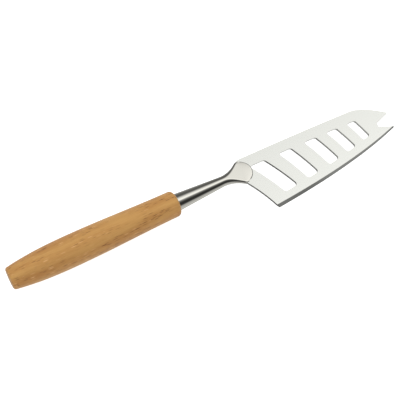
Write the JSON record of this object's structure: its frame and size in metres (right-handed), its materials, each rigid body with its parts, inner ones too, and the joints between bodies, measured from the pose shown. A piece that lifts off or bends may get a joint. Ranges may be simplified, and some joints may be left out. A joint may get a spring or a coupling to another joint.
{
  "type": "cheese knife",
  "caption": "Table cheese knife: a slotted, ground blade with a forked tip, held in the flattened mouth of a conical steel tube on a turned beech handle.",
  "frame": {"origin": "centre of the handle's flat butt face, on the handle's axis and in the middle plane of the blade", "axes": "+X along the handle to the prongs, +Y from the cutting edge to the spine, +Z out of the blade's face that the picture shows"},
  "size_m": [0.2819, 0.0424, 0.02],
  "materials": {
    "beech": "turned, sanded and oiled beech",
    "polished_steel": "mirror-polished stainless steel",
    "blade_steel": "finely polished stainless steel sheet with a ground edge",
    "plain_steel": "plain turned steel",
    "epoxy": "cured clear epoxy glue"
  },
  "bodies": {
    "root": {"handle": "beech", "shaft": "polished_steel", "tang_bush": "plain_steel", "tang_rod": "plain_steel", "tang_glue": "epoxy", "blade": "blade_steel"}
  },
  "joints": []
}
